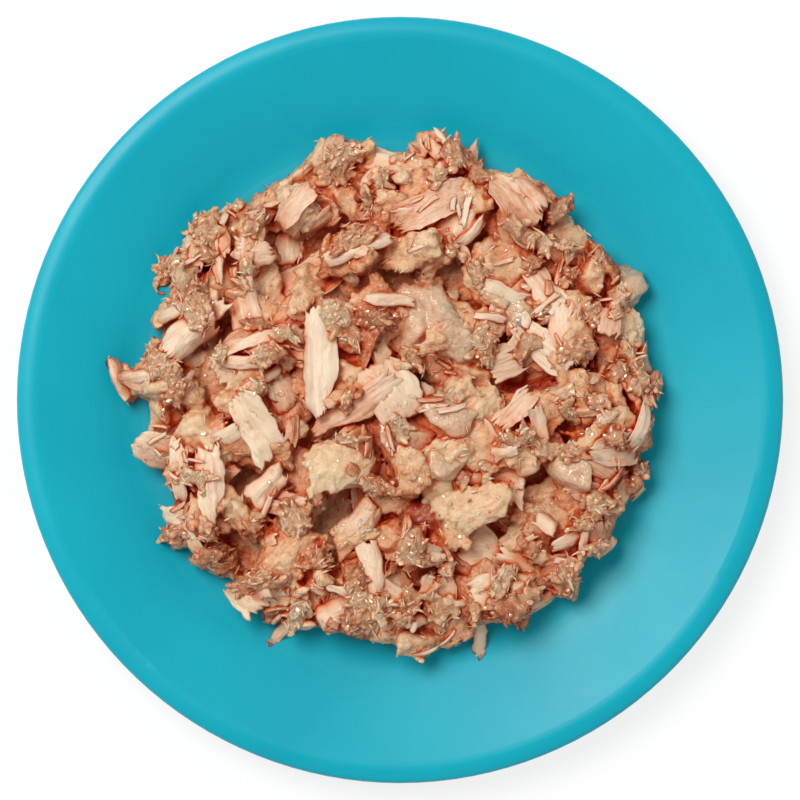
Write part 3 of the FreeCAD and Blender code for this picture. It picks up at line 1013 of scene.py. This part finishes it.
def lay_shreds(shells, skin, source, count, chance):
    """Short fibres over a skin of fish, half sunk in it and lying roughly along it."""
    points, triangles, owners = skin
    places, normals, picked = scattered(points, triangles, count, chance)
    template, faces = spindle(3, 5)
    for place, normal, owner in zip(places, normals, owners[triangles[picked, 0]]):
        along = source.rotations[owner][:, 0]
        yaw = math.atan2(along[1], along[0]) + chance.normal(0.0, SHRED_STRAY)
        rotation = facing(normal + chance.normal(0.0, 0.07, 3), yaw)
        length = chance.uniform(*SHRED_LENGTH)
        height = chance.uniform(*SHRED_HEIGHT)
        local = template * (length / 2.0, chance.uniform(*SHRED_WIDTH) / 2.0, height / 2.0)
        local[:, 1] += chance.normal(0.0, 0.12) * local[:, 0] ** 2
        local[:, 2] -= chance.uniform(0.02, 0.12) * local[:, 0] ** 2
        world = local @ rotation.T + place - normal * chance.uniform(*SHRED_SINK) * height / 2.0
        tone = source.tones[owner] + chance.normal(*SHRED_TONE)
        shells.add(world, faces, rotation, place, tone, SHRED_STRAND)


def lay_beads(shells, skin, source, count, chance):
    """Flat beads of juice on the upper side of a skin."""
    points, triangles, owners = skin
    places, normals, picked = scattered(points, triangles, 3 * count, chance)
    template, faces = round_blob(2)
    upper = np.flatnonzero(normals[:, 2] > BEAD_FACING)[:count]
    owners = owners[triangles[picked[upper], 0]]
    for place, normal, owner in zip(places[upper], normals[upper], owners):
        size = chance.uniform(*BEAD_SIZE) * chance.uniform(0.6, 1.4, 3)
        size[2] = BEAD_HEIGHT * min(size[:2])
        rotation = facing(normal, chance.uniform(0.0, FULL_TURN))
        world = template * size @ rotation.T + place
        shells.add(world, faces, rotation, place, source.tones[owner], 0.0)


def make_heap():
    chance = np.random.default_rng(SEED)
    heap = Heap(chance)
    minced, broken, jelly, torn, features = (Shells() for _ in range(5))
    scraps, clots, slivers, hairs, shreds, beads = (Shells() for _ in range(6))
    for depths in MASS_DEPTHS:
        heap.lay_masses(minced, broken, depths)
    skin = make_skin(minced, (heap.bed(), make_grains(minced, chance)), SKIN_VOXEL, 1.0)
    heap.relief.lay(skin[0])
    heap.relief.lay(broken.joined()[0])

    for _ in range(JELLY_COUNT):
        place = heap.random_place(4.0)
        size = chance.uniform(*JELLY_SIZE)
        yaw = chance.uniform(0.0, FULL_TURN)
        heap.lay_jelly(jelly, place, size, size * chance.uniform(0.6, 1.0), yaw)
    heap.lay_bundles(torn, TORN)
    for x, y, length, width, bearing in FEATURE_JELLY:
        heap.lay_jelly(jelly, np.array([x, y]), length, width, math.radians(bearing))
    heap.lay_features(features)
    heap.lay_bundles(scraps, SCRAPS)
    heap.lay_clots(clots)
    heap.lay_bundles(slivers, SLIVERS)
    heap.lay_fringe(slivers)
    heap.lay_hairs(hairs)

    clot_skin = make_skin(clots, (), CLOT_VOXEL, 0.45, 2)
    sources = ((skin, minced), (clot_skin, clots), (broken.joined(), broken))
    for (surface, source), share in zip(sources, SHRED_SHARES):
        lay_shreds(shreds, surface, source, int(share * SHRED_COUNT), chance)
    for (surface, source), share in zip(sources, BEAD_SHARES):
        lay_beads(beads, surface, source, int(share * BEAD_COUNT), chance)

    fish = fish_finish()
    show("mince", *skin, minced, fish)
    show("clots", *clot_skin, clots, fish)
    for name, shells, finish in (
        ("broken_flesh", broken, fish),
        ("torn_flakes", torn, fish),
        ("large_flakes", features, fish),
        ("scraps", scraps, fish),
        ("slivers", slivers, fish),
        ("shreds", shreds, fish),
        ("hairs", hairs, fish),
        ("jelly", jelly, jelly_finish()),
        ("beads", beads, bead_finish()),
    ):
        show(name, *shells.joined(), shells, finish)


# ---- materials ----
class Nodes:
    """Short calls for building one material."""

    def __init__(self, name):
        self.material = bpy.data.materials.new(name)
        self.material.use_nodes = True
        self.tree = self.material.node_tree
        self.tree.nodes.clear()
        self.output = self.tree.nodes.new("ShaderNodeOutputMaterial")
        self.shader = self.tree.nodes.new("ShaderNodeBsdfPrincipled")
        self.put(self.output.inputs["Surface"], self.shader.outputs[0])

    def put(self, target, value):
        """Link an output to a socket, or set the socket's own value."""
        if isinstance(value, bpy.types.NodeSocket):
            self.tree.links.new(value, target)
        else:
            target.default_value = value

    def set(self, **values):
        """Link or set inputs of the main shader."""
        for key, value in values.items():
            self.put(self.shader.inputs[key.replace("_", " ")], value)

    def add(self, kind, inputs=None, output=0, **settings):
        """An output of a new node, whose inputs are linked or set."""
        node = self.tree.nodes.new("ShaderNode" + kind)
        for key, value in settings.items():
            setattr(node, key, value)
        for key, value in (inputs or {}).items():
            self.put(node.inputs[key], value)
        return node.outputs[output]

    def math(self, operation, first, second=0.0):
        return self.add("Math", {0: first, 1: second}, operation=operation)

    def attribute(self, name, output="Fac"):
        return self.add("Attribute", output=output, attribute_name=name)

    def place(self):
        """The point in the object's frame, in millimetres."""
        point = self.add("TexCoord", output="Object")
        return self.add("VectorMath", {0: point, "Scale": 1.0 / MM}, operation="SCALE")

    def stretched(self, vector, factors):
        return self.add("VectorMath", {0: vector, 1: factors}, operation="MULTIPLY")

    def noise(self, vector, scale, detail=3.0, roughness=0.5, distortion=0.0):
        keys = ("Vector", "Scale", "Detail", "Roughness", "Distortion")
        values = (vector, scale, detail, roughness, distortion)
        return self.add("TexNoise", dict(zip(keys, values)), "Fac")

    def spread(self, value, *ranges):
        """A value from one range spread over another, and held at its ends."""
        keys = ("Value", "From Min", "From Max", "To Min", "To Max")
        return self.add("MapRange", dict(zip(keys, (value, *ranges))))

    def axis(self, vector, name):
        return self.add("SeparateXYZ", {0: vector}, name)

    def blend(self, kind, share, first, second):
        """Two colours mixed or multiplied."""
        inputs = {0: share, 6: first, 7: second}
        return self.add("Mix", inputs, 2, data_type="RGBA", blend_type=kind, clamp_result=True)

    def blend_values(self, share, first, second):
        return self.add("Mix", {0: share, 2: first, 3: second}, data_type="FLOAT")

    def bump(self, height, distance, strength=1.0, **under):
        inputs = {"Height": height, "Distance": distance * MM, "Strength": strength, **under}
        return self.add("Bump", inputs)

    def ramp(self, value, stops):
        """Colours between stops, each a position and a screen colour."""
        color = self.add("ValToRGB", {0: value})
        elements = color.node.color_ramp.elements
        while len(elements) < len(stops):
            elements.new(0.5)
        for element, (position, *screen) in zip(elements, stops):
            element.position = position
            element.color = (*linear(screen), 1.0)
        return color

    def with_painted_hollow_shade(self, color):
        """A colour with painted shade, darker and redder where less of the sky is open."""
        reach = {"Distance": HOLLOW_SHADE_REACH * MM}
        sky = self.add("AmbientOcclusion", reach, "AO", samples=HOLLOW_SHADE_SAMPLES)
        seen = self.spread(sky, *HOLLOW_SHADE_OPEN)
        powers = {channel: self.math("POWER", seen, p) for channel, p in enumerate(HOLLOW_SHADE_POWERS)}
        return self.blend("MULTIPLY", 1.0, color, self.add("CombineColor", powers))

    def let_light_in(self, weight, depth):
        reach, colors = depth
        self.set(Subsurface_Weight=weight, Subsurface_Scale=reach * MM, Subsurface_Radius=colors)


def linear(color):
    """A screen colour in 0 to 255 as the linear values that shaders take."""
    values = np.array(color) / 255.0
    low = values / 12.92
    high = ((values + 0.055) / 1.055) ** 2.4
    return tuple(float(v) for v in np.where(values <= 0.04045, low, high))


def fish_finish():
    """Cooked fish: pale fibres or mince, wet in patches. Painted shade makes it darker and redder
    in hollows, on steep sides and between its grains and threads.
    """
    n = Nodes("cooked_fish")
    place = n.place()
    fibre = n.attribute("fibre", "Vector")
    strand = n.attribute("strand")
    loose = n.spread(strand, 0.0, 1.0, 1.0, 0.3)
    threads = n.noise(n.stretched(fibre, (0.25, 1.7, 1.1)), 1.0, 4.0, 0.58)
    grains = n.noise(place, 1.3, 5.0, 0.68)
    swirl = n.noise(n.stretched(fibre, (0.6, 1.5, 1.3)), 1.0, 3.0, 0.55, 1.0)
    web = n.spread(n.math("ABSOLUTE", n.math("SUBTRACT", swirl, 0.5)), 0.0, 0.1, 1.0, 0.0)
    painted_slope_shade_z = n.axis(n.add("NewGeometry", output="Normal"), "Z")
    shade = n.attribute("tone")
    for part in (
        # painted shade: tops paler, steep sides darker and redder
        n.spread(painted_slope_shade_z, 0.3, 1.0, 0.34, -0.08),
        # painted shade: the raised crests of the threads, grains and webs come out paler and the
        # hollows between them darker, from the same heights that bump them; the threads are also
        # real streaks of tone along the fibres
        n.math("MULTIPLY", n.spread(threads, 0.25, 0.75, 0.16, -0.16), strand),
        n.math("MULTIPLY", n.spread(grains, 0.3, 0.7, 0.2, -0.2), loose),
        n.math("MULTIPLY", n.spread(web, 0.0, 1.0, 0.1, -0.22), loose),
        n.spread(n.noise(place, 0.28, 3.0, 0.55), 0.3, 0.7, -0.15, 0.15),
        n.spread(n.noise(place, 0.09, 2.0, 0.5), 0.3, 0.7, -0.25, 0.25),
    ):
        shade = n.math("ADD", shade, part)
    unshaded = n.blend("MIX", strand, n.ramp(shade, MINCE_STOPS), n.ramp(shade, FLESH_STOPS))
    wet = n.noise(place, 0.45, 2.0, 0.5)
    # painted shade: the colour comes out darker and redder where less of the sky is open
    n.set(Base_Color=n.with_painted_hollow_shade(unshaded), Roughness=n.spread(wet, 0.35, 0.65, 0.55, 0.38))
    n.set(Coat_Weight=n.spread(wet, 0.35, 0.6, 0.15, 0.65))
    n.set(Coat_Roughness=0.14, IOR=1.38, Specular_IOR_Level=0.2)
    n.let_light_in(0.5, FLESH_DEPTH)
    normal = n.bump(n.math("MULTIPLY", threads, strand), 0.45)
    normal = n.bump(n.math("MULTIPLY", grains, loose), 0.5, Normal=normal)
    normal = n.bump(n.math("MULTIPLY", web, loose), 0.08, Normal=normal)
    n.set(Normal=normal, Coat_Normal=n.bump(n.noise(place, 2.0, 2.0, 0.5), 0.25))
    return n.material


def bead_finish():
    """Juice that stands in beads on the fish: smooth and shiny."""
    n = Nodes("juice_beads")
    cloud = n.noise(n.place(), 0.6, 3.0, 0.5)
    shade = n.math("ADD", n.attribute("tone"), n.spread(cloud, 0.3, 0.7, -0.15, 0.15))
    # painted shade: the colour comes out darker and redder where less of the sky is open
    n.set(Base_Color=n.with_painted_hollow_shade(n.ramp(shade, MINCE_STOPS)))
    n.set(Roughness=n.spread(cloud, 0.3, 0.7, 0.2, 0.35))
    n.set(Coat_Weight=1.0, Coat_Roughness=0.1, Coat_IOR=1.9, IOR=1.36)
    n.let_light_in(0.6, FLESH_DEPTH)
    return n.material


def jelly_finish():
    """Set fish jelly: pale, cloudy and moist."""
    n = Nodes("jelly")
    place = n.place()
    # painted shade: the colour comes out darker and redder where less of the sky is open
    n.set(Base_Color=n.with_painted_hollow_shade(n.ramp(n.noise(place, 0.5, 4.0, 0.6), JELLY_STOPS)))
    n.set(Roughness=n.spread(n.noise(place, 0.8), 0.3, 0.7, 0.25, 0.45))
    n.set(Coat_Weight=0.8, Coat_Roughness=0.08, Coat_IOR=1.8, IOR=1.36)
    n.let_light_in(0.75, JELLY_DEPTH)
    n.set(Normal=n.bump(n.noise(place, 1.3, 4.0, 0.65), 0.9))
    n.set(Coat_Normal=n.bump(n.noise(place, 0.9, 2.0, 0.5), 0.7))
    return n.material


def glaze_finish():
    """Teal glaze, with the pale clay bare under the foot ring."""
    n = Nodes("glaze")
    place = n.place()
    cloud = n.noise(place, 0.03, 3.0, 0.5)
    clay = n.ramp(n.noise(place, 0.8, 4.0, 0.6), CLAY_STOPS)
    height = n.math("ADD", n.axis(place, "Z"), n.spread(cloud, 0.0, 1.0, 0.0, 0.1))
    bare = n.math("LESS_THAN", height, BARE_HEIGHT)
    gloss = n.spread(n.noise(place, 0.05), 0.3, 0.7, 0.34, 0.42)
    n.set(Base_Color=n.blend("MIX", bare, n.ramp(cloud, TEAL_STOPS), clay))
    n.set(Roughness=n.blend_values(bare, gloss, 0.85), IOR=1.45, Specular_IOR_Level=0.28)
    n.set(Normal=n.bump(n.noise(place, 0.12, 2.0, 0.4), 0.06, 0.5))
    return n.material


def dress_plate():
    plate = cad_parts["plate"]
    plate.data.materials.clear()
    plate.data.materials.append(glaze_finish())


# ---- stage ----
def aim(thing, place, target):
    """Set a lamp or camera at a place, turned to a target."""
    thing.location = Vector(place) * MM
    direction = Vector(target) - Vector(place)
    thing.rotation_euler = direction.to_track_quat("-Z", "Y").to_euler()


def make_light():
    """One large soft lamp from the upper left."""
    lamp = bpy.data.lights.new("key", "AREA")
    lamp.shape = "DISK"
    lamp.size = KEY_SIZE * MM
    lamp.energy = KEY_POWER
    aim(add_object("key", lamp), KEY_PLACE, KEY_TARGET)


def make_table():
    """A wide white table that keeps a faint shadow."""
    corners = np.array([[-1, -1, 0], [1, -1, 0], [1, 1, 0], [-1, 1, 0]], float)
    faces = np.array([[0, 1, 2], [0, 2, 3]])
    mesh = make_mesh("table", corners * 40.0 * PLATE_RADIUS, faces)
    n = Nodes("table")
    n.set(Base_Color=(TABLE_GREY, TABLE_GREY, TABLE_GREY, 1.0), Roughness=0.9)
    seen = 0.0
    for ray in ("Is Camera Ray", "Is Glossy Ray", "Is Transmission Ray"):
        seen = n.math("MAXIMUM", seen, n.add("LightPath", output=ray))
    share = n.math("MULTIPLY", seen, TABLE_WHITE)
    mix = n.add("MixShader", {0: share, 1: n.shader.outputs[0], 2: n.add("Emission")})
    n.put(n.output.inputs["Surface"], mix)
    mesh.materials.append(n.material)
    table = add_object("table", mesh)


def make_sky():
    """Even white light from all round, dimmer straight overhead."""
    world = bpy.data.worlds.new("world")
    world.use_nodes = True
    tree = world.node_tree
    background = tree.nodes["Background"]
    background.inputs["Color"].default_value = (1.0, 1.0, 1.0, 1.0)
    split = tree.nodes.new("ShaderNodeSeparateXYZ")
    tree.links.new(tree.nodes.new("ShaderNodeTexCoord").outputs["Generated"], split.inputs[0])
    fade = tree.nodes.new("ShaderNodeMapRange")
    tree.links.new(split.outputs["Z"], fade.inputs["Value"])
    ends = (*SKY_FADE, SKY, SKY_ZENITH * SKY)
    for key, number in zip(("From Min", "From Max", "To Min", "To Max"), ends):
        fade.inputs[key].default_value = number
    tree.links.new(fade.outputs[0], background.inputs["Strength"])
    bpy.context.scene.world = world


def make_camera():
    """A long lens straight above."""
    view = bpy.data.cameras.new("camera")
    view.lens = LENS
    view.clip_start, view.clip_end = 0.01, 20.0
    camera = add_object("camera", view)
    distance = FRAME_WIDTH * view.lens / view.sensor_width
    aim(camera, (0.0, 0.0, plate_high[2] + distance), (0.0, 0.0, 0.0))
    bpy.context.scene.camera = camera
    bpy.context.scene.view_settings.view_transform = "Standard"


make_heap()
dress_plate()
make_table()
make_sky()
make_camera()
make_light()
